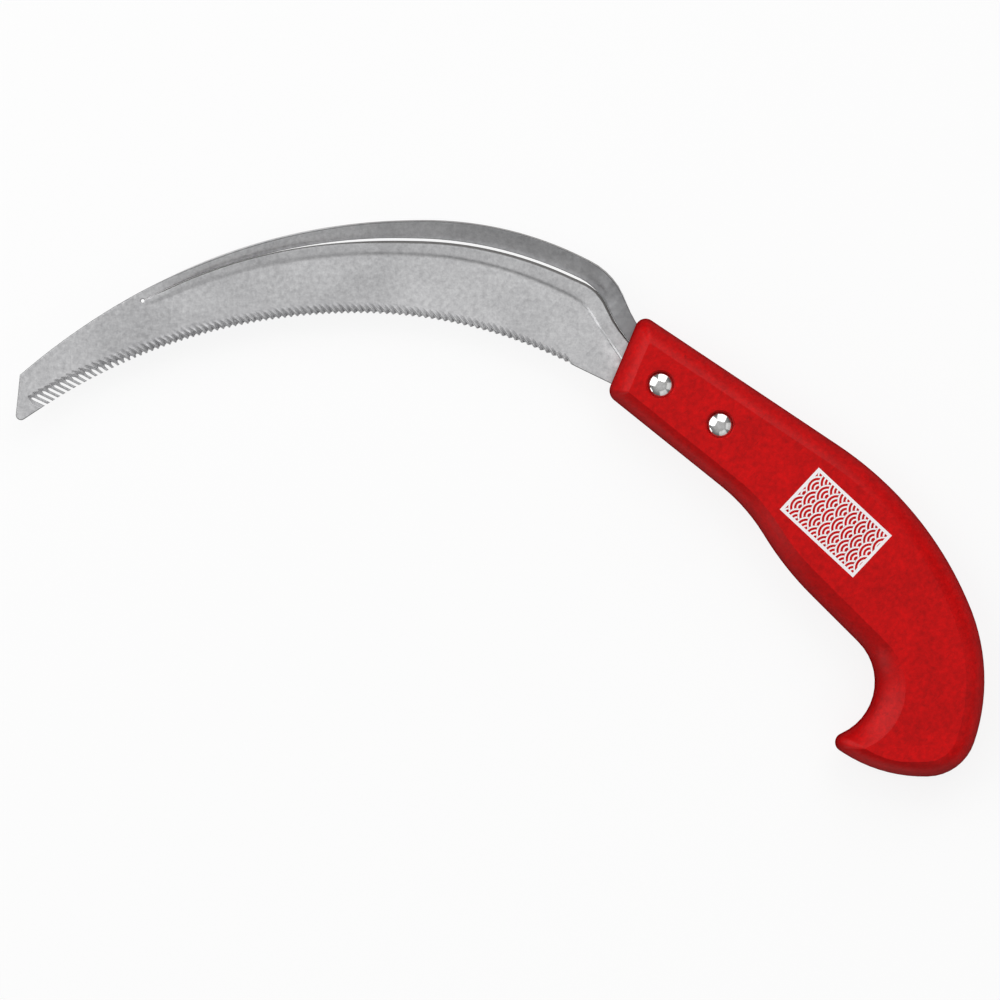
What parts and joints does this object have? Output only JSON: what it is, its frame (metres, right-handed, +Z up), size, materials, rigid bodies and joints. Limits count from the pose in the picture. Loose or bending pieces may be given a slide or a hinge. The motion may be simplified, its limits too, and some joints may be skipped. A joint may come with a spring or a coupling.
{
  "type": "serrated hand sickle",
  "caption": "Hand sickle: arched saw-toothed sheet-steel blade with a pressed slit along its back, riveted into a slotted red wooden pistol grip that ends in a finger hook.",
  "frame": {"origin": "on the handle's lower flat face, midway between the two rivets", "axes": "+Z up from the face that the sickle lies on, towards the toothed side; the blade points to -X, its toothed edge faces -Y and its arched back faces +Y; blade and handle lie in the XY plane"},
  "size_m": [0.3006, 0.1727, 0.02],
  "materials": {
    "blade_steel": "rolled stainless sheet, satin, with fine scuffs",
    "red_wood": "thin red lacquer over close-grained wood",
    "rivet_steel": "bright plated steel",
    "white_print": "thin white printing ink"
  },
  "bodies": {
    "root": {"blade": "blade_steel", "handle": "red_wood", "front_rivet_post": "rivet_steel", "front_rivet_cap": "rivet_steel", "rear_rivet_post": "rivet_steel", "rear_rivet_cap": "rivet_steel"}
  },
  "joints": []
}
